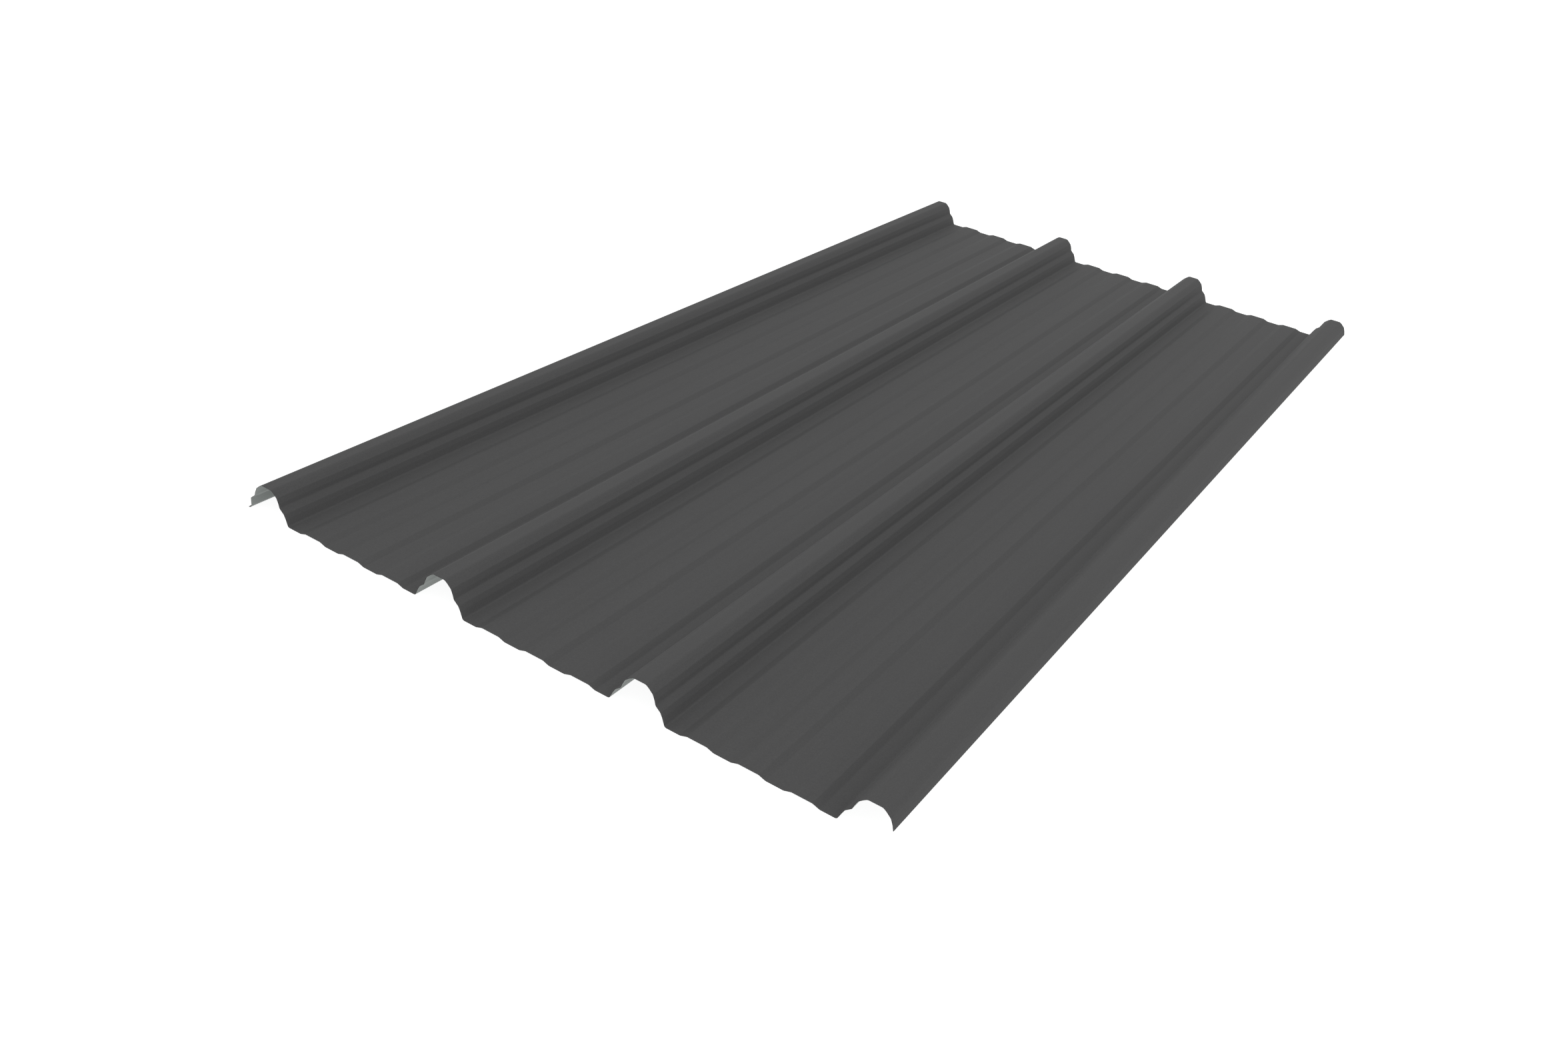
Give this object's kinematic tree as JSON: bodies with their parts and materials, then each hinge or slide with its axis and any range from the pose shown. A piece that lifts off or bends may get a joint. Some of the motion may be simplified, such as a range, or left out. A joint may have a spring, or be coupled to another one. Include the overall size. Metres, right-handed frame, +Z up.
{
  "type": "corrugated metal sheet",
  "caption": "Long profiled roofing sheet of coated steel: stepped round-shouldered ribs between wide swaged pans, with an underlap rib on one long edge and an overlap rib on the other.",
  "frame": {"origin": "middle of the sheet's outer box, at the level of the pans' undersides, on which the sheet lies", "axes": "+X across the sheet from the underlap side to the overlap side, +Y along the ribs, +Z up out of the painted face"},
  "size_m": [1.0684, 2.1, 0.0486],
  "materials": {
    "coated_steel": "matte"
  },
  "bodies": {
    "root": {"profiled_sheet": "coated_steel"}
  },
  "joints": []
}
